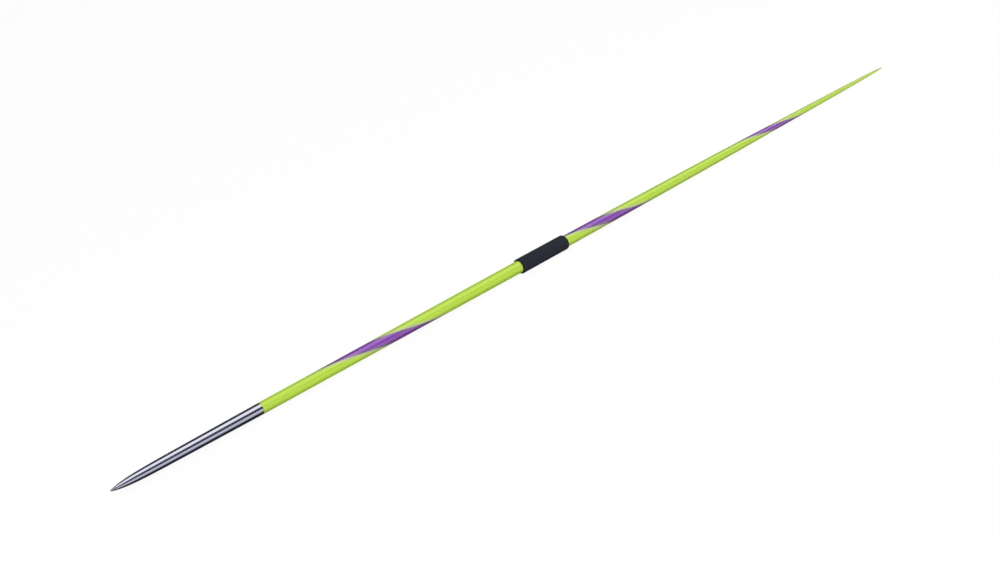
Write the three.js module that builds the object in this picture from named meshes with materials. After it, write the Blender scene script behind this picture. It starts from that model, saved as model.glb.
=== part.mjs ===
// Javelin for men's throwing, 800 g class, as an assembly of separate turned and wound pieces.
// Units are millimetres. The javelin lies along X, point towards -X and tail towards +X, with +Z up.
// The origin is on the axis, in the middle of the hand grip.

import * as THREE from 'three';

// Whole javelin
const tipToGripCentre = 1058;
const gripCentreToTail = 1544;

// Outside of the shaft
const gripSeatDiameter = 27.4;
const seamDiameter = 22.6;
const tailEndDiameter = 3.6;

// Head
const headLength = 300;
const headWall = 1;
const noseDiameter = 17.5;
const noseRiseLength = 25;
const noseRoundRadius = 1.6;
const noseSolidLength = 34;
const boreEndChamfer = 2;

// Point of the head, and the stem that holds it
const pointLength = 9;
const stemDiameter = 2.6;
const stemLength = 14;

// Balance slug
const slugLength = 11;

// Tubes
const frontWall = 1.25;
const rearWall = 1.4;
const spigotLength = 88;
const spigotWall = 1.3;
const neckLength = 3;

// Sleeve that joins the tubes
const sleeveLength = 240;
const sleeveWall = 1.2;
const sleeveChamfer = 0.4;

// Dampers
const frontDamperFromTip = 640;
const rearDamperFromTip = 1720;
const damperLength = 36;

// Tail tip
const tailTipLength = 60;
const tailSpigotLength = 28;
const tailEndRound = 0.5;

// Grip
const gripLength = 150;
const underlayThickness = 0.6;
const cordThickness = 2.5;
const cordGap = 0.5;
const turnCount = 24;

// Clearances
const glueGap = 0.3;
const seatGap = 0.3;
const wrapGap = 0.3;

// Counts of flats and rings
const sideCount = 32;
const stepsPerTurn = 24;
const noseRingCount = 11;
const headRingCount = 5;
const boreRingCount = 6;
const plugRingCount = 2;
const arcStepCount = 4;

// Number of rise lengths after which the nose has levelled off
const noseRiseCount = 4;

// Outline of the front tube: share of the way from seam to grip, share of the rise in diameter
const frontTaperShares = [[0, 0], [0.17, 0.25], [0.39, 0.46], [0.62, 0.7], [0.83, 0.9], [1, 1]];

// Outline of the rear: share of the way from grip to tail end, share of the fall in diameter
const rearTaperShares = [
  [0, 0], [0.11, 0.025], [0.24, 0.085], [0.36, 0.14], [0.46, 0.21], [0.56, 0.315],
  [0.66, 0.415], [0.76, 0.51], [0.85, 0.61], [0.9, 0.695], [0.945, 0.785], [0.98, 0.895], [1, 1],
];

// Section of the cord, across and out from its middle, as shares of its width and thickness
const cordSectionShares = [[-0.5, 0], [-0.36, -0.5], [0.36, -0.5], [0.5, 0], [0.36, 0.5], [-0.36, 0.5]];

// Share of the cord's thickness that is pressed flat where the javelin lies on it
const pressedShare = 0.1;

const gripFront = tipToGripCentre - gripLength / 2;
const gripRear = tipToGripCentre + gripLength / 2;
const tailEnd = tipToGripCentre + gripCentreToTail;
const tailTipFront = tailEnd - tailTipLength;

// Smooth curve through knots [along, value], as cubic pieces with slopes from the neighbours
function smoothThrough(knots, along) {
  const last = knots.length - 1;
  let i = 0;
  while (i < last - 1 && along > knots[i + 1][0]) i += 1;
  const slopeAt = (k) => {
    const before = knots[Math.max(k - 1, 0)];
    const after = knots[Math.min(k + 1, last)];
    return (after[1] - before[1]) / (after[0] - before[0]);
  };
  const [startAlong, startValue] = knots[i];
  const [endAlong, endValue] = knots[i + 1];
  const span = endAlong - startAlong;
  const t = (along - startAlong) / span;
  const hump = t * (1 - t);
  const blend = t * t * (3 - 2 * t);
  const startPull = hump * (1 - t) * span * slopeAt(i);
  const endPull = hump * t * span * slopeAt(i + 1);
  return startValue + (endValue - startValue) * blend + startPull - endPull;
}

// Head outline: a nose that rises fast and levels off, on a slow straight taper to the seam
const noseSlope = noseDiameter / noseRiseLength / 2;
const noseHalfAngle = Math.atan(noseSlope);
const apexAhead = noseRoundRadius / Math.sin(noseHalfAngle) - noseRoundRadius;
function headRadius(fromTip) {
  const rise = 1 - Math.exp(-(fromTip + apexAhead) / noseRiseLength);
  const taper = ((seamDiameter - noseDiameter) * fromTip) / headLength;
  return (noseDiameter * rise + taper) / 2;
}

function shaftRadius(fromTip) {
  if (fromTip <= headLength) return headRadius(fromTip);
  if (fromTip >= gripRear) {
    const share = (fromTip - gripRear) / (tailEnd - gripRear);
    const fall = smoothThrough(rearTaperShares, share);
    return (gripSeatDiameter - (gripSeatDiameter - tailEndDiameter) * fall) / 2;
  }
  if (fromTip >= gripFront) return gripSeatDiameter / 2;
  const share = (fromTip - headLength) / (gripFront - headLength);
  const rise = smoothThrough(frontTaperShares, share);
  return (seamDiameter + (gripSeatDiameter - seamDiameter) * rise) / 2;
}

const headBoreRadius = (fromTip) => headRadius(fromTip) - headWall;
const spigotRadius = (fromTip) => headBoreRadius(fromTip) - glueGap;
const frontBoreRadius = (fromTip) => shaftRadius(fromTip) - frontWall;
const rearBoreRadius = (fromTip) => shaftRadius(fromTip) - rearWall;

// Points [fromTip, radius] at even steps along a stretch of an outline
function stretch(radiusAt, from, to, stepCount) {
  const points = [];
  for (let i = 0; i <= stepCount; i += 1) {
    const fromTip = from + ((to - from) * i) / stepCount;
    points.push([fromTip, radiusAt(fromTip)]);
  }
  return points;
}

// Points [fromTip, radius] of a stretch of the shaft at its ends and at the outline's own knots
const shaftKnots = [
  ...frontTaperShares.map(([share]) => headLength + (gripFront - headLength) * share),
  ...rearTaperShares.map(([share]) => gripRear + (tailEnd - gripRear) * share),
];
function knotted(radiusAt, first, last) {
  const inside = shaftKnots.filter((knot) => knot > first && knot < last);
  return [first, ...inside, last].map((fromTip) => [fromTip, radiusAt(fromTip)]);
}

// Solid turned about the javelin's axis from a profile of [fromTip, radius] points, which runs from
// front to rear along the outside and closes on itself or starts and ends on the axis
function turned(name, profile, material) {
  const front = profile[0][0];
  const points = profile.map(([fromTip, radius]) => new THREE.Vector2(radius, fromTip - front));
  const geometry = new THREE.LatheGeometry(points, sideCount);
  geometry.rotateZ(-Math.PI / 2);
  const mesh = new THREE.Mesh(geometry, material);
  mesh.name = name;
  mesh.position.x = front;
  return mesh;
}

function closedProfile(outside, inside) {
  return [...outside, ...inside.reverse(), outside[0]];
}

// Materials
const plainSteel = new THREE.MeshStandardMaterial({ color: 0x8f8f93, roughness: 0.5, metalness: 0.9 });
const polishedSteel = new THREE.MeshStandardMaterial({ color: 0xb9b9c8, roughness: 0.12, metalness: 1 });
const brass = new THREE.MeshStandardMaterial({ color: 0xb59a4e, roughness: 0.35, metalness: 0.9 });
const limePaint = new THREE.MeshStandardMaterial({ color: 0xb7da4c, roughness: 0.22, metalness: 0 });
const bareAlloy = new THREE.MeshStandardMaterial({ color: 0xb4b6ba, roughness: 0.35, metalness: 0.9 });
const damperRubber = new THREE.MeshStandardMaterial({ color: 0x2a2a2c, roughness: 0.85, metalness: 0 });
const gripTape = new THREE.MeshStandardMaterial({ color: 0x1f2028, roughness: 0.9, metalness: 0 });
const gripFibre = new THREE.MeshStandardMaterial({ color: 0x2c2e3a, roughness: 0.8, metalness: 0 });

// Reinforced point, rounded in front, with a stem behind it
function makeHeadTip() {
  const profile = [];
  const arcEnd = Math.PI / 2 - noseHalfAngle;
  for (let i = 0; i <= arcStepCount; i += 1) {
    const angle = (arcEnd * i) / arcStepCount;
    profile.push([noseRoundRadius * (1 - Math.cos(angle)), noseRoundRadius * Math.sin(angle)]);
  }
  const arcLength = profile[arcStepCount][0];
  profile.push(...stretch(headRadius, arcLength, pointLength, arcStepCount).slice(1));
  profile.push([pointLength, stemDiameter / 2]);
  profile.push([pointLength + stemLength, stemDiameter / 2]);
  profile.push([pointLength + stemLength, 0]);
  return turned('head_tip', profile, plainSteel);
}

// Polished shell: solid nose with a socket for the stem, bored to a thin wall behind it
function makeHeadShell() {
  const front = pointLength + seatGap;
  const noseEnd = noseRiseLength * noseRiseCount;
  const outside = [
    ...stretch(headRadius, front, noseEnd, noseRingCount),
    ...stretch(headRadius, noseEnd, headLength, headRingCount).slice(1),
  ];
  const boreEnd = noseSolidLength - boreEndChamfer;
  const bore = [
    [boreEnd, 0],
    [boreEnd, headBoreRadius(noseSolidLength) - boreEndChamfer],
    ...stretch(headBoreRadius, noseSolidLength, noseEnd, boreRingCount),
    ...stretch(headBoreRadius, noseEnd, headLength, headRingCount).slice(1),
  ];
  const socketRadius = stemDiameter / 2 + glueGap;
  const socketEnd = pointLength + stemLength + seatGap;
  const socket = [[socketEnd, 0], [socketEnd, socketRadius], [front, socketRadius]];
  const profile = [...socket, ...outside, ...bore.reverse()];
  return turned('head_shell', profile, polishedSteel);
}

// Slug that rests on the bottom of the head's bore and follows its taper
function makeBalanceSlug() {
  const front = noseSolidLength + seatGap;
  const rear = front + slugLength;
  const side = stretch(spigotRadius, front, rear, plugRingCount);
  return turned('balance_slug', [[front, 0], ...side, [rear, 0]], brass);
}

// Front tube, drawn down in front to the spigot that sits in the head
function makeFrontShaft() {
  const front = headLength - spigotLength;
  const seam = headLength + seatGap;
  const neckEnd = seam + neckLength;
  const rear = tipToGripCentre;
  const outside = [
    ...stretch(spigotRadius, front, seam, plugRingCount),
    ...knotted(shaftRadius, seam, rear),
  ];
  const inside = [
    ...stretch((x) => spigotRadius(x) - spigotWall, front, seam, plugRingCount),
    ...knotted(frontBoreRadius, neckEnd, rear),
  ];
  return turned('front_shaft', closedProfile(outside, inside), limePaint);
}

// Rear tube, from the butt joint under the grip to the tail tip
function makeRearShaft() {
  const front = tipToGripCentre + seatGap;
  const rear = tailTipFront - seatGap;
  const outside = knotted(shaftRadius, front, rear);
  const inside = knotted(rearBoreRadius, front, rear);
  return turned('rear_shaft', closedProfile(outside, inside), limePaint);
}

// Sleeve glued into both tubes across their joint
function makeCentreSleeve() {
  const front = tipToGripCentre - sleeveLength / 2;
  const rear = tipToGripCentre + sleeveLength / 2;
  const fitRadius = (x) => Math.min(frontBoreRadius(x), rearBoreRadius(x)) - glueGap;
  const boreRadius = Math.min(fitRadius(front), fitRadius(rear)) - sleeveWall;
  const outside = [
    [front, fitRadius(front) - sleeveChamfer],
    ...knotted(fitRadius, front + sleeveChamfer, rear - sleeveChamfer),
    [rear, fitRadius(rear) - sleeveChamfer],
  ];
  const inside = [[front, boreRadius], [rear, boreRadius]];
  return turned('centre_sleeve', closedProfile(outside, inside), bareAlloy);
}

// Light plug that fits a tube's bore
function makeDamper(name, boreRadiusAt, middle) {
  const front = middle - damperLength / 2;
  const rear = middle + damperLength / 2;
  const side = stretch((x) => boreRadiusAt(x) - glueGap, front, rear, plugRingCount);
  return turned(name, [[front, 0], ...side, [rear, 0]], damperRubber);
}

// Turned end of the tail, with a spigot in front that plugs the tube
function makeTailTip() {
  const spigotFront = tailTipFront - tailSpigotLength;
  const spigot = rearBoreRadius(tailTipFront) - glueGap;
  const roundStart = tailEnd - tailEndRound;
  const profile = [
    [spigotFront, 0],
    [spigotFront, spigot],
    [tailTipFront, spigot],
    ...knotted(shaftRadius, tailTipFront, roundStart),
    [tailEnd, tailEndDiameter / 2 - tailEndRound],
    [tailEnd, 0],
  ];
  return turned('tail_tip', profile, limePaint);
}

// Thin tape round the shaft under the cord
const underlayInnerRadius = gripSeatDiameter / 2 + wrapGap;
const underlayOuterRadius = underlayInnerRadius + underlayThickness;
function makeGripUnderlay() {
  const outside = [[gripFront, underlayOuterRadius], [gripRear, underlayOuterRadius]];
  const inside = [[gripFront, underlayInnerRadius], [gripRear, underlayInnerRadius]];
  return turned('grip_underlay', closedProfile(outside, inside), gripTape);
}

// Cord wound round the tape as one unbroken helix, with a straight end at each side
const turnPitch = gripLength / (turnCount + 1);
const cordWidth = turnPitch - cordGap;
const cordMiddleRadius = underlayOuterRadius + wrapGap + cordThickness / 2;
const cordOuterRadius = cordMiddleRadius + cordThickness / 2;
const pressedHeight = cordOuterRadius * Math.cos(Math.PI / stepsPerTurn) - cordThickness * pressedShare;

// Middle of the cord after a number of steps, with its direction and the way out from the axis.
// A flat lies exactly underneath the javelin in every turn.
function cordFrameAt(step) {
  const angle = ((step + 0.5) * 2 * Math.PI) / stepsPerTurn;
  const outward = new THREE.Vector3(0, Math.sin(angle), -Math.cos(angle));
  const around = new THREE.Vector3(0, Math.cos(angle), Math.sin(angle));
  const rise = turnPitch / (2 * Math.PI * cordMiddleRadius);
  const direction = around.setX(rise).normalize();
  const along = turnPitch * (step / stepsPerTurn - turnCount / 2);
  const middle = outward.clone().multiplyScalar(cordMiddleRadius).setX(along);
  return { middle, direction, outward };
}

function cordRings() {
  const stepCount = turnCount * stepsPerTurn;
  const frames = [];
  for (let step = 0; step <= stepCount; step += 1) frames.push(cordFrameAt(step));
  const first = frames[0];
  const last = frames[stepCount];
  const startMiddle = first.middle.clone().addScaledVector(first.direction, -cordThickness);
  const endMiddle = last.middle.clone().addScaledVector(last.direction, cordThickness);
  frames.unshift({ ...first, middle: startMiddle });
  frames.push({ ...last, middle: endMiddle });
  return frames.map(({ middle, outward }) => cordSectionShares.map(([across, out]) => {
    const point = middle.clone().addScaledVector(outward, out * cordThickness);
    point.x += across * cordWidth;
    point.z = Math.max(point.z, -pressedHeight);
    return point;
  }));
}

// Least distance between one turn's points and the next turn's, measured on the finished rings
function leastTurnGap(rings) {
  let least = Infinity;
  for (let i = 0; i + stepsPerTurn < rings.length; i += 1) {
    for (const near of rings[i]) {
      for (let k = i + stepsPerTurn - 1; k <= i + stepsPerTurn + 1; k += 1) {
        for (const far of rings[k] ?? []) least = Math.min(least, near.distanceTo(far));
      }
    }
  }
  return least;
}

function makeGripCord() {
  const rings = cordRings();
  const sides = cordSectionShares.length;
  const positions = rings.flat().flatMap((point) => point.toArray());
  const indices = [];
  for (let ring = 0; ring + 1 < rings.length; ring += 1) {
    for (let side = 0; side < sides; side += 1) {
      const a = ring * sides + side;
      const b = ring * sides + ((side + 1) % sides);
      indices.push(a, b, b + sides, a, b + sides, a + sides);
    }
  }
  const lastRing = (rings.length - 1) * sides;
  for (let side = 1; side + 1 < sides; side += 1) {
    indices.push(0, side + 1, side);
    indices.push(lastRing, lastRing + side, lastRing + side + 1);
  }
  const geometry = new THREE.BufferGeometry();
  geometry.setAttribute('position', new THREE.Float32BufferAttribute(positions, 3));
  geometry.setIndex(indices);
  geometry.computeVertexNormals();
  const mesh = new THREE.Mesh(geometry, gripFibre);
  mesh.name = 'grip_cord';
  console.log(`grip_cord: least gap between turns ${leastTurnGap(rings).toFixed(2)} mm`);
  return mesh;
}

// Assembly: what is placed from the tip hangs in one group, and the cord is centred on the origin
const fromTip = new THREE.Group();
fromTip.position.x = -tipToGripCentre;

const head = new THREE.Group();
head.add(makeHeadTip(), makeHeadShell(), makeBalanceSlug());

const shaft = new THREE.Group();
shaft.add(makeFrontShaft(), makeRearShaft(), makeCentreSleeve(), makeTailTip());
shaft.add(makeDamper('front_damper', frontBoreRadius, frontDamperFromTip));
shaft.add(makeDamper('rear_damper', rearBoreRadius, rearDamperFromTip));

fromTip.add(head, shaft, makeGripUnderlay());

const javelin = new THREE.Group();
javelin.add(fromTip, makeGripCord());

export default javelin;
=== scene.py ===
"""Looks of a men's throwing javelin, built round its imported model.

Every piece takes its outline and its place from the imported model. Lengths are in metres. The
javelin lies along X with its point towards -X, and the middle of its grip is at the origin.
"""

import math

import bmesh
import bpy
from bpy.props import FloatProperty, FloatVectorProperty, IntProperty, PointerProperty
from mathutils import Matrix, Vector


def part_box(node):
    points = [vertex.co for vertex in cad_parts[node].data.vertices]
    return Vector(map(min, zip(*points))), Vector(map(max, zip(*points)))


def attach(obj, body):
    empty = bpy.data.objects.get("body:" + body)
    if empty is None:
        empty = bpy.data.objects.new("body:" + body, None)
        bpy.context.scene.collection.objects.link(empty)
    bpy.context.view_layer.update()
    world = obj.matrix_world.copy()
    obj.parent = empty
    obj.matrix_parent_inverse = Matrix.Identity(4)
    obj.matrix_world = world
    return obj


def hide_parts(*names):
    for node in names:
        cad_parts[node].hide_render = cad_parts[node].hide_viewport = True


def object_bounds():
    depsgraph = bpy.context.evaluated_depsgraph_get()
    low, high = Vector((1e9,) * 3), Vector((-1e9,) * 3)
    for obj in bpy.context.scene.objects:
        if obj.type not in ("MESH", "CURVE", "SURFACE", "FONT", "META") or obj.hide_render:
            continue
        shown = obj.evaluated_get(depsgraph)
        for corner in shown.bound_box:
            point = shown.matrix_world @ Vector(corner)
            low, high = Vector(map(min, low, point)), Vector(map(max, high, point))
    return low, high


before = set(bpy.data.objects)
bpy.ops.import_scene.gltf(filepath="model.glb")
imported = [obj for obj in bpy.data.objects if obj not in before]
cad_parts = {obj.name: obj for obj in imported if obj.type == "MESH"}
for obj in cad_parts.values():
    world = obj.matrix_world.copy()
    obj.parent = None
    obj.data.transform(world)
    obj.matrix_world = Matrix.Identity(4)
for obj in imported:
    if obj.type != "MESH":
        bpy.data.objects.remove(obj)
cad_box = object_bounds()

bl_info = {
    "name": "Javelin",
    "version": (1, 0, 0),
    "blender": (4, 5, 0),
    "location": "3D View > Sidebar > Javelin",
    "description": "Builds a throwing javelin: head, painted shaft, wound grip and studio",
    "category": "Add Mesh",
}

MM = 0.001
BODY = "root"
BAKE_MAP = "OFBake"

# Turned pieces: sides, points along each span and in each round, and the least turn of a sharp corner
SIDES = 128
STEPS_PER_SPAN = 6
ROUND_STEPS = 4
SHARP_TURN = math.radians(22)

# A stretch longer than this many edge rounds gets one more point near each end
LONG_STRETCH = 5

# Lengths that count as none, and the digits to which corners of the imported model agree
ON_PLANE = 0.01 * MM
SAME_PLACE = 0.000001 * MM
CORNER_DIGITS = 6

# Share of a strip that stays free along each of its sides in the map for baking
MAP_MARGIN = 0.02

# Corner of the tail's outline at which its painted outside starts
TAIL_SHOULDER = 2

# Tape: gap between it and the shaft, and its weave in radians a metre
TAPE_GAP = 0.02 * MM
TAPE_WEAVE = 9000

# Cord: points round each strand, and at its ends the shares by which it sinks and to which it thins
STRAND_POINTS = 4
END_SINK = 0.36
END_SIZE = 0.3

# Picture: size in pixels, sensor in millimetres, and the distances between which the camera sees
PICTURE_WIDTH = 1000
PICTURE_HEIGHT = 563
SENSOR_WIDTH = 36
NEAREST_SEEN = 0.05
FARTHEST_SEEN = 100

# Floor paper: scale and depth of its mottle
PAPER_SCALE = 30
PAPER_MOTTLE = 0.01

# Cards round the javelin: places along it, distances from its axis, and angles above the near side's level
CARD_FRONT = -7
CARD_BACK = 9
CARD_LIFT = 0.2 * MM
CARD_BLEND = 0.15
FRONT_CARD_DISTANCE = 2.2
FRONT_CARD_TOP = math.radians(22)
BOX_FRONT_DISTANCE = 1.8
BOX_FRONT_ANGLE = math.radians(68)
BOX_BACK_DISTANCE = 1.9
BOX_BACK_ANGLE = math.radians(119.5)
REAR_FOOT = 1.7

# Long lamp: its sides and its distance from the axis
LAMP_LENGTH = 6
LAMP_WIDTH = 1.3
LAMP_DISTANCE = 2

WHITE = (1, 1, 1)


# Shader expressions

class Signal:
    """What a node's socket gives. Arithmetic on it adds the Math nodes of the expression."""

    def __init__(self, graph, socket):
        self.graph = graph
        self.socket = socket

    def output(self, name):
        """Another output of the same node."""
        return Signal(self.graph, self.socket.node.outputs[name])

    def math(self, operation, *values, reflected=False):
        """A Math node on this value and others, with this one last where reflected."""
        values = (*values, self) if reflected else (self, *values)
        return self.graph.node("ShaderNodeMath", {"operation": operation}, dict(enumerate(values)))

    def __add__(self, other):
        return self.math("ADD", other)

    def __radd__(self, other):
        return self.math("ADD", other, reflected=True)

    def __sub__(self, other):
        return self.math("SUBTRACT", other)

    def __rsub__(self, other):
        return self.math("SUBTRACT", other, reflected=True)

    def __mul__(self, other):
        return self.math("MULTIPLY", other)

    def __rmul__(self, other):
        return self.math("MULTIPLY", other, reflected=True)

    def __truediv__(self, other):
        return self.math("DIVIDE", other)

    def __rtruediv__(self, other):
        return self.math("DIVIDE", other, reflected=True)

    def __abs__(self):
        return self.math("ABSOLUTE")


class Graph:
    """The nodes of one material or of the world."""

    def __init__(self, tree):
        tree.nodes.clear()
        self.tree = tree

    def node(self, kind, settings=None, inputs=None, output=0):
        """Adds a node, sets its settings and then its sockets, and returns one of its outputs."""
        node = self.tree.nodes.new(kind)
        for name, value in (settings or {}).items():
            setattr(node, name, value)
        for key, value in (inputs or {}).items():
            socket = pick_socket(node.inputs, key)
            if isinstance(value, Signal):
                self.tree.links.new(value.socket, socket)
            elif socket.type == "RGBA":
                socket.default_value = (*value[:3], 1)
            else:
                socket.default_value = value
        return Signal(self, pick_socket(node.outputs, output)) if node.outputs else None

    def place(self):
        """Place on the piece, in metres."""
        return self.node("ShaderNodeTexCoord", output="Object")

    def scaled(self, place, factors):
        return self.node("ShaderNodeVectorMath", {"operation": "MULTIPLY"}, {0: place, 1: factors})

    def split(self, place):
        x = self.node("ShaderNodeSeparateXYZ", inputs={"Vector": place}, output="X")
        return x, x.output("Y"), x.output("Z")

    def noise(self, place, scale, detail=2, roughness=0.5):
        inputs = {"Vector": place, "Scale": scale, "Detail": detail, "Roughness": roughness}
        return self.node("ShaderNodeTexNoise", inputs=inputs, output="Fac")

    def smooth(self, value, low, high):
        """0 below low and 1 above high, with a soft rise between them."""
        inputs = {"Value": value, "From Min": low, "From Max": high}
        return self.node("ShaderNodeMapRange", {"interpolation_type": "SMOOTHSTEP"}, inputs)

    def mix(self, share, start, end):
        """A colour between two colours."""
        inputs = {"Factor": share, "A": start, "B": end}
        return self.node("ShaderNodeMix", {"data_type": "RGBA"}, inputs, "Result")

    def shade(self, colour, level):
        """A colour made darker or lighter by a number that varies."""
        grey = self.node("ShaderNodeCombineXYZ", inputs={"X": level, "Y": level, "Z": level})
        inputs = {0: colour if isinstance(colour, Signal) else tuple(colour[:3]), 1: grey}
        return self.node("ShaderNodeVectorMath", {"operation": "MULTIPLY"}, inputs)

    def bump(self, height):
        """Normal of a relief whose height is in metres."""
        return self.node("ShaderNodeBump", inputs={"Height": height, "Distance": 1}, output="Normal")


def pick_socket(sockets, key):
    """Socket by its number, or the first one in use that has the name."""
    if isinstance(key, int):
        return sockets[key]
    return next(socket for socket in sockets if socket.name == key and socket.enabled)


def blank_material(name):
    """New material with its empty graph."""
    material = bpy.data.materials.new(name)
    material.use_nodes = True
    return material, Graph(material.node_tree)


def new_finish(name, make):
    """Material whose Principled sockets are what make(graph) gives."""
    material, graph = blank_material(name)
    shader = graph.node("ShaderNodeBsdfPrincipled", inputs=make(graph))
    graph.node("ShaderNodeOutputMaterial", inputs={"Surface": shader})
    return material


# Finishes

def polished_steel(head):
    def sockets(graph):
        place = graph.place()
        from_point = graph.split(place)[0] - cad_box[0].x
        rings = graph.noise(graph.scaled(place, (1, 0.02, 0.02)), scale=5200, detail=3)
        smears = graph.noise(graph.scaled(place, (0.3, 1, 1)), scale=160)
        wear = 1 - graph.smooth(from_point, head.worn_length, head.wear_length)
        lengthwise = graph.scaled(place, (0.12, 1, 1))
        scratches = graph.noise(lengthwise, scale=2600, detail=3, roughness=0.7)
        scratched = wear * graph.smooth(scratches, 0.52, 0.68)
        return {
            "Base Color": graph.shade(head.steel_colour, 1.03 - 0.06 * smears),
            "Metallic": 1,
            "Roughness": head.steel_roughness + 0.05 * smears + 0.14 * scratched,
            "Normal": graph.bump(0.0004 * MM * rings - 0.0016 * MM * scratched),
        }
    return new_finish("turned_and_polished_steel", sockets)


def plain_steel(head):
    def sockets(graph):
        place = graph.place()
        grain = graph.noise(place, scale=2300, detail=4, roughness=0.6)
        dents = graph.noise(place, scale=620)
        return {
            "Base Color": graph.shade(head.point_colour, 0.85 + 0.3 * grain),
            "Metallic": 1,
            "Roughness": 0.36 + 0.16 * grain,
            "Normal": graph.bump(0.004 * MM * grain + 0.01 * MM * dents),
        }
    return new_finish("ground_point_steel", sockets)


def shaft_paint(shaft):
    def sockets(graph):
        place = graph.place()
        stripe, mist = stripe_masks(graph, place, shaft)
        mottle = graph.noise(place, scale=70)
        peel = graph.noise(graph.scaled(place, (0.7, 1, 1)), scale=1100, detail=1)
        flakes = graph.noise(place, scale=9000, detail=1)
        lime = graph.mix(mist, tuple(shaft.paint_colour), tuple(shaft.misted_paint_colour))
        lime = graph.shade(lime, 0.97 + 0.06 * mottle)
        purple = graph.mix(mist, tuple(shaft.stripe_colour), tuple(shaft.misted_stripe_colour))
        purple = graph.shade(purple, 0.8 + 0.4 * flakes)
        return {
            "Base Color": graph.mix(stripe, lime, purple),
            "Metallic": shaft.stripe_metal * stripe,
            "Roughness": 0.3 + 0.06 * mottle + 0.04 * stripe,
            "Coat Weight": 1,
            "Coat Roughness": 0.08,
            "Normal": graph.bump(0.003 * MM * peel + 0.012 * MM * stripe),
        }
    return new_finish("clear_coated_shaft_paint", sockets)


def stripe_masks(graph, place, shaft):
    """The painted spiral, which narrows to nothing before the tail, and the mist along its edges.

    The mist keeps its length along the shaft where the stripe turns slower or faster.
    """
    x, y, z = graph.split(place)
    from_point = x - cad_box[0].x
    passes = (from_point - shaft.stripe_first_pass) / shaft.stripe_lead
    turn = 2 * math.pi * (passes + shaft.stripe_bow * passes * (2 - passes))
    middle = turn + shaft.stripe_sway * turn.math("SINE")
    around = shaft.stripe_side - z.math("ARCTAN2", 0 - y)
    edge = math.cos(shaft.stripe_half_width)
    soft = math.sin(shaft.stripe_half_width) * shaft.stripe_edge / 2
    misted = math.sin(shaft.stripe_half_width) * shaft.stripe_mist
    speed = 1 + shaft.stripe_sway * turn.math("COSINE")
    speed = speed / (1 + shaft.stripe_sway * math.cos(shaft.stripe_half_width))
    narrowing = graph.smooth(from_point, shaft.stripe_end - shaft.stripe_run_out, shaft.stripe_end)
    inside = (around - middle).math("COSINE") - edge - (1 + misted - edge) * narrowing
    return graph.smooth(inside, -soft, soft), 1 - graph.smooth(abs(inside) / speed, 0, misted)


def cord_fibre(grip):
    def sockets(graph):
        lay = graph.node("ShaderNodeAttribute", {"attribute_name": "lay"}, output="Vector")
        yarns = graph.noise(graph.scaled(lay, (1, 0.25, 1)), scale=2.2, detail=3, roughness=0.6)
        fluff = graph.noise(graph.place(), scale=3800, detail=3, roughness=0.7)
        patches = graph.noise(graph.place(), scale=60)
        worn = 0.86 + 0.16 * patches + 0.24 * (yarns - 0.5) + 0.16 * (fluff - 0.5)
        return {
            "Base Color": graph.shade(grip.cord_colour, worn),
            "Roughness": 0.82,
            "Specular IOR Level": 0.3,
            "Sheen Weight": 0.05,
            "Sheen Roughness": 0.5,
            "Normal": graph.bump(0.12 * MM * yarns + 0.04 * MM * fluff),
        }
    return new_finish("whipcord_fibre", sockets)


def cloth_tape(grip):
    def sockets(graph):
        x, y, z = graph.split(graph.place())
        around = z.math("ARCTAN2", y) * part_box("grip_underlay")[1].z
        threads = (x * TAPE_WEAVE).math("SINE") * (around * TAPE_WEAVE).math("SINE")
        return {
            "Base Color": graph.shade(grip.tape_colour, 1 + 0.15 * threads),
            "Roughness": 0.88,
            "Normal": graph.bump(0.03 * MM * threads),
        }
    return new_finish("cloth_grip_tape", sockets)


def turned_brass(insides):
    def sockets(graph):
        place = graph.place()
        rings = graph.noise(graph.scaled(place, (1, 0.05, 0.05)), scale=3000)
        tarnish = graph.smooth(graph.noise(place, scale=240, detail=3), 0.45, 0.75)
        dull = [0.55 * part for part in insides.brass_colour]
        return {
            "Base Color": graph.mix(tarnish, tuple(insides.brass_colour), dull),
            "Metallic": 1,
            "Roughness": 0.24 + 0.1 * rings + 0.2 * tarnish,
            "Normal": graph.bump(0.004 * MM * rings),
        }
    return new_finish("turned_brass", sockets)


def drawn_alloy(insides):
    def sockets(graph):
        place = graph.place()
        draw_lines = graph.noise(graph.scaled(place, (0.02, 1, 1)), scale=2600, detail=3)
        return {
            "Base Color": graph.shade(insides.alloy_colour, 0.94 + 0.12 * draw_lines),
            "Metallic": 1,
            "Roughness": 0.3 + 0.14 * draw_lines,
            "Normal": graph.bump(0.003 * MM * draw_lines),
        }
    return new_finish("drawn_alloy", sockets)


def damper_rubber(insides):
    def sockets(graph):
        place = graph.place()
        cells = graph.noise(place, scale=900, detail=3)
        bloom = graph.noise(place, scale=120)
        return {
            "Base Color": graph.shade(insides.rubber_colour, 0.8 + 0.5 * bloom),
            "Roughness": 0.72 + 0.16 * cells,
            "Normal": graph.bump(0.08 * MM * cells),
        }
    return new_finish("closed_cell_rubber", sockets)


# Meshes from rings

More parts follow.
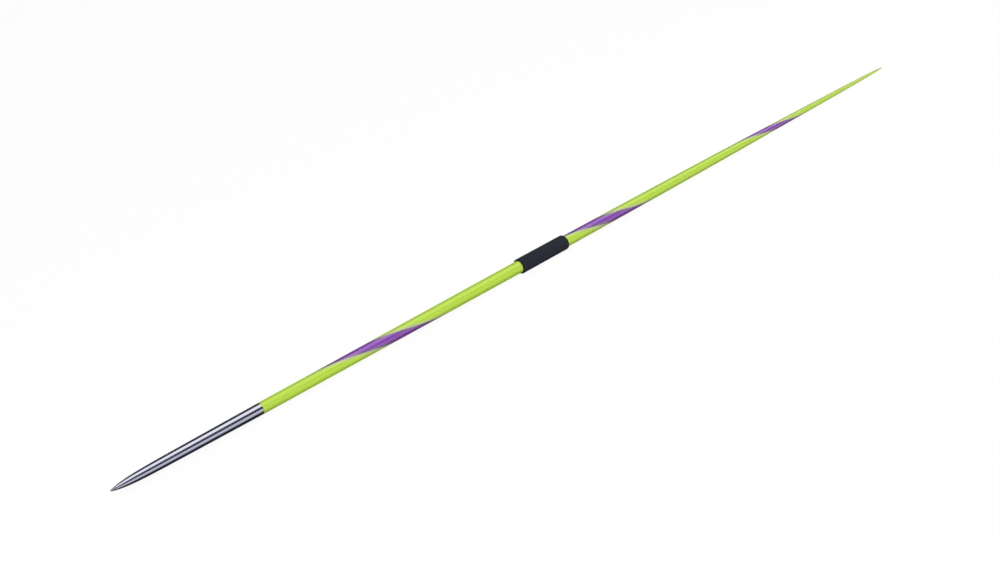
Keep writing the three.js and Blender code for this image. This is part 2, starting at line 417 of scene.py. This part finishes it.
def ring_mesh(name, rings, poles):
    """Closed mesh over rings of points. It ends in two poles, or with none its last ring joins its first."""
    count = len(rings[0])
    points = [point for ring in rings for point in ring]
    spans = len(rings) - (1 if poles else 0)
    faces = []
    for near in range(spans):
        far = (near + 1) % len(rings)
        for side in range(count):
            after = (side + 1) % count
            corners = ((near, side), (near, after), (far, after), (far, side))
            faces.append([ring * count + column for ring, column in corners])
    for ring, pole in zip((0, len(rings) - 1), poles):
        points.append(pole)
        for side in range(count):
            after = (side + 1) % count
            faces.append([ring * count + side, ring * count + after, len(points) - 1])
    mesh = bpy.data.meshes.new(name)
    mesh.from_pydata(points, [], faces)
    shape = bmesh.new()
    shape.from_mesh(mesh)
    bmesh.ops.recalc_face_normals(shape, faces=shape.faces)
    shape.to_mesh(mesh)
    shape.free()
    mesh.shade_smooth()
    lay_out(mesh, rings, spans)
    return mesh


def lay_out(mesh, rings, spans):
    """Map for baking: the skin is cut across into strips of nearly even length, stacked in a square.

    A pole lies half a side's width beyond its ring.
    """
    count = len(rings[0])
    along = [0]
    for near in range(spans):
        step = max((a - b).length for a, b in zip(rings[near], rings[(near + 1) % len(rings)]))
        along.append(along[-1] + step)
    girth = max(sum((a - b).length for a, b in zip(ring, ring[1:] + ring[:1])) for ring in rings)
    reach = along[-1] / max(1, round(math.sqrt(along[-1] / girth)))
    starts = [0]
    for near in range(1, spans):
        if along[near + 1] - along[starts[-1]] > reach:
            starts.append(near)
    strip_of = []
    for strip, (start, end) in enumerate(zip(starts, starts[1:] + [spans])):
        strip_of += [strip] * (end - start)
    longest = max(along[end] - along[start] for start, end in zip(starts, starts[1:] + [spans]))
    layer = mesh.uv_layers.new(name=BAKE_MAP).data
    pole_places = {len(rings) * count: 0, len(rings) * count + 1: spans}
    for face in mesh.polygons:
        near, side = divmod(face.index, count)
        if near >= spans:
            near = 0 if near == spans else spans - 1
        for loop in face.loop_indices:
            vertex = mesh.loops[loop].vertex_index
            ring, column = divmod(vertex, count)
            if vertex in pole_places:
                ring, column = pole_places[vertex], side + 0.5
                nudge = girth / count / 2 * (1 if ring else -1)
            else:
                column += count if side == count - 1 and column == 0 else 0
                ring = spans if ring == 0 and near == spans - 1 and spans == len(rings) else ring
                nudge = 0
            distance = along[ring] + nudge - along[starts[strip_of[near]]]
            u = MAP_MARGIN + (1 - 2 * MAP_MARGIN) * distance / longest
            v = (strip_of[near] + MAP_MARGIN + (1 - 2 * MAP_MARGIN) * column / count) / len(starts)
            layer[loop].uv = (u, v)


def add_piece(name, mesh, finish, slot, *nodes):
    """Shows a mesh in place of CAD nodes, riding with the javelin."""
    old = bpy.data.objects.get(name)
    if old:
        bpy.data.objects.remove(old)
    mesh.materials.append(finish)
    piece = bpy.data.objects.new(name, mesh)
    bpy.context.scene.collection.objects.link(piece)
    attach(piece, BODY)
    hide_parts(*nodes)


# Turned pieces

def outline_of(node):
    """Corners (x, radius) of a turned node's half section, front first, and whether they close a ring."""
    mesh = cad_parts[node].data
    links = {}
    for edge in mesh.edges:
        ends = [mesh.vertices[i].co for i in edge.vertices]
        if all(abs(end.y) < ON_PLANE and end.z > -ON_PLANE for end in ends):
            first, second = ((round(end.x, CORNER_DIGITS), round(end.z, CORNER_DIGITS)) for end in ends)
            links.setdefault(first, set()).add(second)
            links.setdefault(second, set()).add(first)
    on_axis = [corner for corner, linked in links.items() if len(linked) == 1]
    path = [min(on_axis or links)]
    while True:
        ahead = [corner for corner in links[path[-1]] if corner not in path]
        if not ahead:
            break
        path.append(max(ahead, key=lambda corner: corner[1]))
    return [Vector(corner) for corner in path], not on_axis


def turn_at(before, corner, after):
    """Angle by which an outline turns at a corner."""
    if (corner - before).length < SAME_PLACE or (after - corner).length < SAME_PLACE:
        return 0
    return (corner - before).angle(after - corner)


def ease(share):
    """A share from 0 to 1 with a soft start and end."""
    return share * share * (3 - 2 * share)


def smooth_stretch(knots, edge_round):
    """Points along a smooth line through knots, with one more point near each end to hold the shading."""
    if len(knots) == 2:
        points = [knots[0], knots[1]]
    else:
        points = []
        for i in range(len(knots) - 1):
            before = knots[max(i - 1, 0)]
            start, end = knots[i], knots[i + 1]
            after = knots[min(i + 2, len(knots) - 1)]
            span = (end - start).length
            start_pull = (end - before) * (span / ((start - before).length + span))
            end_pull = (after - start) * (span / (span + (after - end).length))
            for step in range(STEPS_PER_SPAN):
                t = step / STEPS_PER_SPAN
                pull = t * (1 - t) * ((1 - t) * start_pull - t * end_pull)
                points.append(start.lerp(end, ease(t)) + pull)
        points.append(knots[-1])
    length = (points[-1] - points[0]).length
    if edge_round and length > LONG_STRETCH * edge_round:
        points.insert(1, move_towards(points[0], points[1], edge_round))
        points.insert(-1, move_towards(points[-1], points[-2], edge_round))
    return points


def move_towards(start, end, distance):
    """Point at a distance from start towards end, or half-way where they are nearer than twice that."""
    return start + (end - start).normalized() * min(distance, (end - start).length / 2)


def round_outline(corners, closed, edge_round):
    """Outline with smooth stretches and a small round on each sharp corner."""
    count = len(corners)
    sharp = []
    for i in range(count):
        if closed or 0 < i < count - 1:
            turn = turn_at(corners[i - 1], corners[i], corners[(i + 1) % count])
            if turn > SHARP_TURN:
                sharp.append(i)
    if closed:
        bounds = list(zip(sharp, sharp[1:] + [sharp[0] + count]))
    else:
        stops = [0, *sharp, count - 1]
        bounds = list(zip(stops, stops[1:]))
    outline = []
    for first, last in bounds:
        knots = [corners[i % count].copy() for i in range(first, last + 1)]
        ends_sharp = (first % count in sharp, last % count in sharp)
        start = move_towards(knots[0], knots[1], edge_round) if ends_sharp[0] else knots[0]
        end = move_towards(knots[-1], knots[-2], edge_round) if ends_sharp[1] else knots[-1]
        stretch = smooth_stretch([start, *knots[1:-1], end], edge_round)
        if outline and ends_sharp[0]:
            outline += bend(outline[-1], knots[0], stretch[0])
        outline += stretch
    if closed:
        outline += bend(outline[-1], corners[sharp[0]], outline[0])
    return outline


def bend(start, corner, end):
    """Points inside a round between two points, drawn towards a corner."""
    points = []
    for step in range(1, ROUND_STEPS):
        t = step / ROUND_STEPS
        points.append(start.lerp(corner, t).lerp(corner.lerp(end, t), t))
    return points


def turned_mesh(name, corners, closed, edge_round):
    """Mesh of an outline turned round the X axis."""
    outline = round_outline(corners, closed, edge_round)
    poles = []
    if not closed:
        poles = [(outline[0].x, 0, 0), (outline[-1].x, 0, 0)]
        outline = outline[1:-1]
    rings = []
    for x, radius in outline:
        turns = (2 * math.pi * side / SIDES for side in range(SIDES))
        rings.append([Vector((x, radius * math.cos(a), radius * math.sin(a))) for a in turns])
    return ring_mesh(name, rings, poles)


def moved_edge(corners, start, end):
    """Corners with those at one place along the axis moved to another."""
    return [Vector((end, c.y)) if abs(c.x - start) < ON_PLANE else c for c in corners]


# Wound cord

def cord_rings(grip):
    """Rings of the cord's twisted strands along its winding, with each ring's lay for the yarns."""
    low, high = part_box("grip_cord")
    tape_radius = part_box("grip_underlay")[1].z
    outer = tape_radius + grip.seat_gap + grip.cord_thickness
    middle = outer - grip.cord_thickness / 2
    pitch = (high.x - low.x) / (grip.turns + 1)
    half_width = pitch / 2 * grip.cord_fill
    turn_length = math.hypot(2 * math.pi * middle, pitch)
    steps = grip.turns * grip.steps_per_turn
    points_round = STRAND_POINTS * grip.strands
    rings, lays = [], []
    for step in range(steps + 1):
        turn = step / grip.steps_per_turn
        angle = 2 * math.pi * turn
        along = turn * turn_length
        from_end = min(along, grip.turns * turn_length - along)
        full = ease(min(1, from_end / grip.tuck_length))
        outward = Vector((0, math.sin(angle), -math.cos(angle)))
        sunk = (1 - full) * END_SINK * grip.cord_thickness
        centre = outward * (middle - sunk)
        centre.x = (low.x + high.x) / 2 + pitch * (turn - grip.turns / 2)
        twist = 2 * math.pi * along / grip.strand_lay
        ring = []
        for point in range(points_round):
            own = 2 * math.pi * point / points_round
            around = twist + own
            lobe = 1 - grip.strand_depth * (1 - abs(math.sin(grip.strands * own / 2)))
            size = lobe * (END_SIZE + (1 - END_SIZE) * full)
            corner = centre + outward * (math.sin(around) * size * grip.cord_thickness / 2)
            corner.x += math.cos(around) * size * half_width
            corner.z = max(corner.z, low.z)
            ring.append(corner)
            lays.append((along / MM, own, 0))
        rings.append(ring)
    return rings, lays


def cord_mesh(name, grip):
    """Mesh of the cord, with its lay for the yarns as an attribute of its points."""
    rings, lays = cord_rings(grip)
    poles = [sum(ring, Vector()) / len(ring) for ring in (rings[0], rings[-1])]
    mesh = ring_mesh(name, rings, poles)
    lay = mesh.attributes.new("lay", "FLOAT_VECTOR", "POINT")
    values = lays + [lays[0], lays[-1]]
    lay.data.foreach_set("vector", [number for value in values for number in value])
    return mesh


# Studio

def point_camera(context, stage):
    """Camera from which the javelin's point and tail fall on their places in the picture."""
    focal = stage.lens / SENSOR_WIDTH * PICTURE_WIDTH
    middle = Vector((PICTURE_WIDTH / 2, PICTURE_HEIGHT / 2))
    point_ray = ((Vector(stage.point_pixel) - middle) / focal).to_3d() + Vector((0, 0, 1))
    tail_ray = ((Vector(stage.tail_pixel) - middle) / focal).to_3d() + Vector((0, 0, 1))
    seen = tail_ray * stage.depth_ratio - point_ray
    along = seen.normalized()
    pitch = math.atan2(-along.y, along.z)
    up = Vector((0, -math.cos(pitch), -math.sin(pitch)))
    to_world = Matrix((along, up.cross(along), up))
    point = Vector((cad_box[0].x, 0, 0))
    near = point_ray * ((cad_box[1].x - cad_box[0].x) / seen.length)
    data = bpy.data.cameras.new("picture_camera")
    data.lens = stage.lens
    data.sensor_width = SENSOR_WIDTH
    data.clip_start = NEAREST_SEEN
    data.clip_end = FARTHEST_SEEN
    camera = bpy.data.objects.new("picture_camera", data)
    turned = (to_world @ Matrix.Diagonal((1, -1, -1))).to_4x4()
    camera.matrix_world = Matrix.Translation(point - to_world @ near) @ turned
    context.scene.collection.objects.link(camera)
    context.scene.camera = camera


def seen_as_background(graph):
    """1 for rays from the camera and for those off metal and through glass, and 0 for light."""
    paths = graph.node("ShaderNodeLightPath", output="Is Camera Ray")
    return paths + paths.output("Is Glossy Ray") + paths.output("Is Transmission Ray")


def light_world(context, stage):
    """Even light from all round, in front of a white background."""
    world = bpy.data.worlds.new("studio_world")
    world.use_nodes = True
    context.scene.world = world
    graph = Graph(world.node_tree)
    shown = seen_as_background(graph)
    level = stage.fill_level + (1 - stage.fill_level) * shown
    sky = graph.node("ShaderNodeBackground", inputs={"Color": WHITE, "Strength": level})
    graph.node("ShaderNodeOutputWorld", inputs={"Surface": sky})


def stage_sheet(name, corners):
    """Flat sheet that belongs to the studio."""
    mesh = bpy.data.meshes.new(name)
    mesh.from_pydata(corners, [], [(0, 1, 2, 3)])
    sheet = bpy.data.objects.new(name, mesh)
    bpy.context.scene.collection.objects.link(sheet)
    return sheet


def lay_floor(stage):
    """White paper that the grip lies on, which keeps the javelin's shadow."""
    half = stage.floor_size / 2
    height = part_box("grip_cord")[0].z
    corners = [(sx * half, sy * half, height) for sx, sy in ((-1, -1), (1, -1), (1, 1), (-1, 1))]
    floor = stage_sheet("studio_floor", corners)
    material, graph = blank_material("white_paper_floor")
    bounced = graph.node("ShaderNodeLightPath", output="Is Diffuse Ray")
    paper = graph.noise(graph.place(), PAPER_SCALE)
    bright = graph.shade(stage.floor_colour, 1 - PAPER_MOTTLE / 2 + PAPER_MOTTLE * paper)
    colour = graph.mix(bounced, bright, tuple(stage.floor_bounce))
    lit = graph.node("ShaderNodeBsdfDiffuse", inputs={"Color": colour})
    white = graph.node("ShaderNodeEmission", inputs={"Color": WHITE, "Strength": 1})
    share = stage.floor_white * seen_as_background(graph)
    mixed = graph.node("ShaderNodeMixShader", inputs={0: share, 1: lit, 2: white})
    graph.node("ShaderNodeOutputMaterial", inputs={"Surface": mixed})
    floor.data.materials.append(material)


def hang_card(name, first, second, colour, level=1, shaft_reflection_colour=None):
    """Long card from one edge (y, z) to another, which only reflections in the javelin show. With a shaft
    reflection colour, it takes that colour past the head's seam: a painted reflection that only the shaft
    mirrors.
    """
    corners = [(CARD_FRONT, *first), (CARD_BACK, *first), (CARD_BACK, *second), (CARD_FRONT, *second)]
    card = stage_sheet(name, corners)
    for ray in ("camera", "diffuse", "transmission", "volume_scatter", "shadow"):
        setattr(card, f"visible_{ray}", False)
    material, graph = blank_material(name)
    shown = [level * part for part in colour]
    # Painted reflection: past the head's seam the card takes another colour, so the shaft mirrors it and the
    # head does not.
    if shaft_reflection_colour:
        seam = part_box("head_shell")[1].x
        past_seam = graph.smooth(graph.split(graph.place())[0], seam, seam + CARD_BLEND)
        shown = graph.mix(past_seam, shown, tuple(shaft_reflection_colour))
    light = graph.node("ShaderNodeEmission", inputs={"Color": shown, "Strength": 1})
    graph.node("ShaderNodeOutputMaterial", inputs={"Surface": light})
    card.data.materials.append(material)


def at_angle(distance, angle):
    """Point (y, z) at a distance from the javelin's axis and an angle above the near side's level."""
    return -distance * math.cos(angle), distance * math.sin(angle)


def hang_cards(stage):
    """White cards and dark flags round the javelin, for the bands that its head mirrors."""
    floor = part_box("grip_cord")[0].z + CARD_LIFT
    front_top = at_angle(FRONT_CARD_DISTANCE, FRONT_CARD_TOP)
    box_front = at_angle(BOX_FRONT_DISTANCE, BOX_FRONT_ANGLE)
    box_back = at_angle(BOX_BACK_DISTANCE, BOX_BACK_ANGLE)
    front_foot = (front_top[0], floor)
    flag_edge = (-stage.floor_flag_reach, floor)
    flag_end = (-stage.floor_flag_end, floor)
    rear_foot = (REAR_FOOT, floor)
    hang_card("front_card", front_foot, front_top, WHITE, stage.front_card_level)
    hang_card("front_flag", front_top, box_front, stage.flag_colour)
    hang_card("overhead_box", box_front, box_back, WHITE, stage.overhead_level)
    hang_card("rear_flag", box_back, rear_foot, stage.flag_colour, stage.rear_flag_level)
    # The floor flag and the front floor card are painted reflections: sheets at the floor that only
    # reflections show, in place of the white floor.
    hang_card("floor_flag", flag_edge, flag_end, stage.flag_colour, stage.floor_flag_level)
    # Past the head's seam this card shows a painted olive reflection along the shaft's edges.
    hang_card("edge_card", flag_end, rear_foot, stage.flag_colour, stage.floor_flag_level,
              stage.painted_edge_reflection_colour)
    hang_card("front_floor_card", front_foot, flag_edge, stage.painted_floor_reflection_colour)


def hang_lamp(stage):
    """Long soft lamp above the near side, which lights without showing in the metal."""
    data = bpy.data.lights.new("key_lamp", "AREA")
    data.shape = "RECTANGLE"
    data.size = LAMP_LENGTH
    data.size_y = LAMP_WIDTH
    data.energy = stage.key_level * math.pi * data.size * data.size_y
    lamp = bpy.data.objects.new("key_lamp", data)
    middle = (cad_box[0].x + cad_box[1].x) / 2
    lamp.location = (middle, *at_angle(LAMP_DISTANCE, stage.key_height))
    lamp.rotation_euler = (math.pi / 2 - stage.key_height, 0, 0)
    lamp.visible_camera = False
    lamp.visible_glossy = False
    lamp.visible_transmission = False
    bpy.context.scene.collection.objects.link(lamp)


# Settings

def length_setting(name, description, default):
    return FloatProperty(name=name, description=description, default=default, min=0,
                         precision=5, unit="LENGTH")


def angle_setting(name, description, degrees):
    return FloatProperty(name=name, description=description, default=math.radians(degrees),
                         subtype="ANGLE")


def colour_setting(name, description, default):
    return FloatVectorProperty(name=name, description=description, default=default, size=3,
                               min=0, max=1, subtype="COLOR")


def share_setting(name, description, default):
    return FloatProperty(name=name, description=description, default=default, min=0, max=1,
                         subtype="FACTOR")


class HeadSettings(bpy.types.PropertyGroup):
    """Sizes and colours of the head and its point."""

    edge_round: length_setting("Edge round", "Round on the head's turned edges", 0.12 * MM)
    worn_length: length_setting("Worn", "Length from the point that is scratched all over", 12 * MM)
    wear_length: length_setting("Wear", "How far from the point the scratches reach", 70 * MM)
    steel_colour: colour_setting("Steel", "Colour of the polished steel", (0.72, 0.72, 0.84))
    steel_roughness: share_setting("Polish", "Roughness of the polished steel", 0.14)
    point_colour: colour_setting("Point", "Colour of the plain steel point", (0.5, 0.49, 0.58))


class ShaftSettings(bpy.types.PropertyGroup):
    """Sizes and colours of the painted shaft."""

    edge_round: length_setting("Edge round", "Round on the tubes' ends", 0.2 * MM)
    joint_line: length_setting("Joint line", "Open line at the painted-over tail joint", 0.05 * MM)
    paint_colour: colour_setting("Paint", "Colour of the shaft", (0.435, 0.655, 0.027))
    stripe_colour: colour_setting("Stripe", "Colour of the spiral stripe", (0.298, 0.05, 0.575))
    misted_paint_colour: colour_setting(
        "Misted paint", "Colour of the shaft just beside the stripe", (0.46, 0.53, 0.26))
    misted_stripe_colour: colour_setting(
        "Misted stripe", "Colour of the stripe just inside its edge", (0.29, 0.175, 0.33))
    stripe_metal: share_setting("Stripe metal", "How metallic the stripe is", 0.45)
    stripe_first_pass: length_setting(
        "First pass", "Distance from the point to where the stripe faces the near side", 585.7 * MM)
    stripe_lead: length_setting("Lead", "Length of the shaft in one turn of the stripe", 702 * MM)
    stripe_side: angle_setting(
        "Side", "Height above the near side's level at which the passes are counted", 41.56)
    stripe_half_width: angle_setting("Half width", "Half of the stripe's width round the shaft", 49.8)
    stripe_sway: FloatProperty(
        name="Sway", description="How much faster than even the stripe crosses the near side",
        default=0.59)
    stripe_bow: FloatProperty(
        name="Bow", description="How much of a turn the stripe is ahead at its middle pass",
        default=0.018)
    stripe_edge: angle_setting("Stripe edge", "Width of the stripe's soft edge round the shaft", 15)
    stripe_mist: angle_setting("Mist", "How far the mist reaches on each side of the edge", 32)
    stripe_end: length_setting("Stripe end", "Distance from the point to the stripe's end", 2480 * MM)
    stripe_run_out: length_setting("Run-out", "Length over which the stripe narrows", 260 * MM)


class GripSettings(bpy.types.PropertyGroup):
    """Sizes and colours of the wound grip."""

    turns: IntProperty(name="Turns", description="Turns of the cord", default=46, min=1)
    steps_per_turn: IntProperty(name="Steps", description="Rings in one turn", default=168, min=12)
    cord_thickness: length_setting("Thickness", "Thickness of the cord", 2.7 * MM)
    cord_fill: share_setting("Fill", "Share of the pitch that the cord's width takes", 0.99)
    seat_gap: length_setting("Seat", "Space between the tape and the cord", 0.05 * MM)
    strands: IntProperty(name="Strands", description="Strands twisted into the cord", default=3, min=2)
    strand_lay: length_setting("Lay", "Length of the cord in one turn of a strand", 10.5 * MM)
    strand_depth: share_setting("Strand depth", "Depth of the valleys between the strands", 0.26)
    tuck_length: length_setting("Tuck", "Length over which the cord's ends thin out", 14 * MM)
    tape_round: length_setting("Tape edge", "Round on the tape's edges", 0.12 * MM)
    cord_colour: colour_setting("Cord", "Colour of the cord", (0.0165, 0.019, 0.034))
    tape_colour: colour_setting("Tape", "Colour of the tape under it", (0.014, 0.015, 0.021))


class InsideSettings(bpy.types.PropertyGroup):
    """Colours of the pieces inside the tubes."""

    brass_colour: colour_setting("Brass", "Colour of the balance slug", (0.62, 0.43, 0.14))
    alloy_colour: colour_setting("Alloy", "Colour of the centre sleeve", (0.62, 0.63, 0.65))
    rubber_colour: colour_setting("Rubber", "Colour of the dampers", (0.02, 0.02, 0.022))


class StageSettings(bpy.types.PropertyGroup):
    """Camera, floor and light."""

    lens: FloatProperty(name="Lens", description="Focal length of the camera in millimetres",
                        default=41.472, unit="CAMERA")
    point_pixel: FloatVectorProperty(
        name="Point", description="Place of the javelin's point in the picture, in pixels", size=2,
        default=(110.5, 491))
    tail_pixel: FloatVectorProperty(
        name="Tail", description="Place of the javelin's tail in the picture, in pixels", size=2,
        default=(881.17, 67.9))
    depth_ratio: FloatProperty(
        name="Depth ratio", description="How much farther the tail is than the point", default=1.853)
    floor_size: length_setting("Floor", "Width of the floor", 40)
    floor_colour: colour_setting("Floor colour", "Colour of the floor", (0.95, 0.95, 0.95))
    floor_bounce: colour_setting(
        "Floor bounce", "Colour with which the floor lights the javelin", (0.68, 0.68, 0.68))
    floor_white: share_setting("Floor white", "Share of plain white in the floor's look", 0.92)
    fill_level: FloatProperty(name="Fill", description="Light from all round", default=0.66, min=0)
    key_level: FloatProperty(name="Key", description="Brightness of the long lamp", default=1.75, min=0)
    key_height: angle_setting("Key height", "Angle of the lamp above the near side's level", 60)
    overhead_level: FloatProperty(
        name="Overhead box", description="Brightness of the box that the head's top mirrors",
        default=1.08, min=0)
    front_card_level: FloatProperty(
        name="Front card", description="Brightness of the card in front", default=0.72, min=0)
    # Painted reflection: a bluish grey band that the head mirrors below its middle, on a card that nothing
    # else sees. The floor itself stays white.
    painted_floor_reflection_colour: colour_setting(
        "Floor card", "Colour of the floor in front that the head mirrors", (0.54, 0.54, 0.59))
    # Painted dark reflection: the dark cloth below the javelin shows only in reflections, and it darkens the
    # lower edges of the head and shaft.
    floor_flag_reach: length_setting(
        "Floor flag reach", "How far in front of the javelin the dark cloth below it reaches", 0.048)
    floor_flag_end: length_setting(
        "Floor flag end", "How far in front of the axis that cloth ends below the shaft", 0.009)
    painted_edge_reflection_colour: colour_setting(
        # Painted reflection: the olive colour that only the shaft's edges mirror, on a card that nothing
        # else sees. The floor itself stays white.
        "Edge card", "Colour of the floor that the shaft's edges mirror", (0.85, 0.86, 0.5))
    flag_colour: colour_setting("Flags", "Colour of the dark cloths", (0.056, 0.058, 0.088))
    rear_flag_level: share_setting("Rear flag level", "Brightness of the dark cloth behind", 0.6)
    floor_flag_level: share_setting("Floor flag level", "Brightness of the dark cloth below", 0.4)


# Operators

class JAVELIN_OT_head(bpy.types.Operator):
    """Turn the polished head and its plain steel point"""

    bl_idname = "javelin.head"
    bl_label = "Head"

    def execute(self, context):
        head = context.scene.javelin_head
        corners, closed = outline_of("head_tip")
        mesh = turned_mesh("head_point", corners, closed, head.edge_round)
        add_piece("head_point", mesh, plain_steel(head), "plain_steel", "head_tip")
        corners, closed = outline_of("head_shell")
        mesh = turned_mesh("polished_head", corners, closed, head.edge_round)
        add_piece("polished_head", mesh, polished_steel(head), "polished_steel", "head_shell")
        return {"FINISHED"}


class JAVELIN_OT_shaft(bpy.types.Operator):
    """Turn the painted tubes and the tail"""

    bl_idname = "javelin.shaft"
    bl_label = "Shaft"

    def execute(self, context):
        shaft = context.scene.javelin_shaft
        paint = shaft_paint(shaft)
        tube_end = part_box("rear_shaft")[1].x
        tail_corners, _ = outline_of("tail_tip")
        joint = tail_corners[TAIL_SHOULDER].x - shaft.joint_line
        for name, node in (("front_tube", "front_shaft"), ("rear_tube", "rear_shaft"),
                           ("tail_end", "tail_tip")):
            corners, closed = outline_of(node)
            corners = moved_edge(corners, tube_end, joint)
            mesh = turned_mesh(name, corners, closed, shaft.edge_round)
            add_piece(name, mesh, paint, "lime_paint", node)
        return {"FINISHED"}


class JAVELIN_OT_grip(bpy.types.Operator):
    """Wrap the tape and wind the cord of the grip"""

    bl_idname = "javelin.grip"
    bl_label = "Grip"

    def execute(self, context):
        grip = context.scene.javelin_grip
        corners, closed = outline_of("grip_underlay")
        inner = min(corner.y for corner in corners)
        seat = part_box("front_shaft")[1].z + TAPE_GAP
        corners = [Vector((c.x, seat)) if c.y == inner else c for c in corners]
        mesh = turned_mesh("grip_tape", corners, closed, grip.tape_round)
        add_piece("grip_tape", mesh, cloth_tape(grip), "grip_tape", "grip_underlay")
        mesh = cord_mesh("whipcord", grip)
        add_piece("whipcord", mesh, cord_fibre(grip), "grip_fibre", "grip_cord")
        return {"FINISHED"}


class JAVELIN_OT_insides(bpy.types.Operator):
    """Finish the slug, the sleeve and the dampers inside the javelin"""

    bl_idname = "javelin.insides"
    bl_label = "Insides"

    def execute(self, context):
        insides = context.scene.javelin_insides
        rubber = damper_rubber(insides)
        finishes = {
            "balance_slug": turned_brass(insides),
            "centre_sleeve": drawn_alloy(insides),
            "front_damper": rubber,
            "rear_damper": rubber,
        }
        for node, finish in finishes.items():
            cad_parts[node].material_slots[0].material = finish
        return {"FINISHED"}


class JAVELIN_OT_stage(bpy.types.Operator):
    """Set up the camera, the floor and the light"""

    bl_idname = "javelin.stage"
    bl_label = "Stage"

    def execute(self, context):
        stage = context.scene.javelin_stage
        context.scene.view_settings.view_transform = "Standard"
        point_camera(context, stage)
        light_world(context, stage)
        lay_floor(stage)
        hang_cards(stage)
        hang_lamp(stage)
        return {"FINISHED"}


class JAVELIN_PT_sidebar(bpy.types.Panel):
    """Lists the javelin's pieces and their settings"""

    bl_idname = "JAVELIN_PT_sidebar"
    bl_label = "Javelin"
    bl_space_type = "VIEW_3D"
    bl_region_type = "UI"
    bl_category = "Javelin"

    def draw(self, context):
        for operator, settings in STEPS:
            box = self.layout.box()
            box.operator(operator.bl_idname)
            group = getattr(context.scene, settings)
            for name in group.__annotations__:
                box.prop(group, name)


STEPS = (
    (JAVELIN_OT_head, "javelin_head"),
    (JAVELIN_OT_shaft, "javelin_shaft"),
    (JAVELIN_OT_grip, "javelin_grip"),
    (JAVELIN_OT_insides, "javelin_insides"),
    (JAVELIN_OT_stage, "javelin_stage"),
)

SETTINGS = {
    "javelin_head": HeadSettings,
    "javelin_shaft": ShaftSettings,
    "javelin_grip": GripSettings,
    "javelin_insides": InsideSettings,
    "javelin_stage": StageSettings,
}

CLASSES = (*SETTINGS.values(), *(operator for operator, _ in STEPS), JAVELIN_PT_sidebar)


def register():
    for made in CLASSES:
        bpy.utils.register_class(made)
    for name, group in SETTINGS.items():
        setattr(bpy.types.Scene, name, PointerProperty(type=group))


def unregister():
    for name in SETTINGS:
        delattr(bpy.types.Scene, name)
    for made in reversed(CLASSES):
        bpy.utils.unregister_class(made)


def main():
    register()
    for operator, _ in STEPS:
        family, name = operator.bl_idname.split(".")
        getattr(getattr(bpy.ops, family), name)()


if __name__ == "__main__":
    main()
